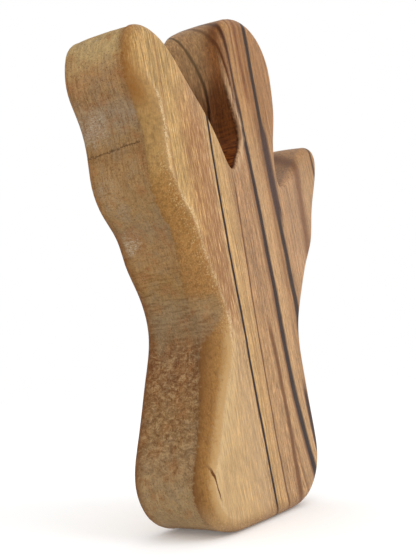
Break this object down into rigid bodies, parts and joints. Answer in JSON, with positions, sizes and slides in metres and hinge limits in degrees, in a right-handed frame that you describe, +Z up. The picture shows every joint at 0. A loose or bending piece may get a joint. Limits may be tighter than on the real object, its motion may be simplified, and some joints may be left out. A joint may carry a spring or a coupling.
{
  "type": "mezuzah case",
  "caption": "Olive wood mezuzah case in the outline of a three-armed letter, with a scroll pocket in its back behind a sliding dovetail cover.",
  "frame": {"origin": "centre of the flat foot at the bottom of the block, at half the block's thickness", "axes": "+Z up along the letter's height, -Y out of the carved front, +Y towards the doorpost, -X at the viewer's left when the front is looked at"},
  "size_m": [0.102, 0.023, 0.1415],
  "materials": {
    "olive_wood": "oiled, sanded",
    "cover_wood": "planed, unfinished",
    "parchment": "matt, slightly waxy",
    "sleeve_plastic": "clear, glossy",
    "pad_foam": "matt closed-cell foam"
  },
  "bodies": {
    "case": {"case_body": "olive_wood", "parchment_scroll": "parchment", "scroll_sleeve": "sleeve_plastic", "mounting_pad_upper_left": "pad_foam", "mounting_pad_upper_right": "pad_foam", "mounting_pad_lower_left": "pad_foam", "mounting_pad_lower_right": "pad_foam"},
    "cover": {"back_cover": "cover_wood"}
  },
  "joints": [
    {"name": "cover_slide", "type": "slide", "parent": "case", "child": "cover", "axis": [0, 0, -1], "range_m": [0, 0.125]}
  ]
}
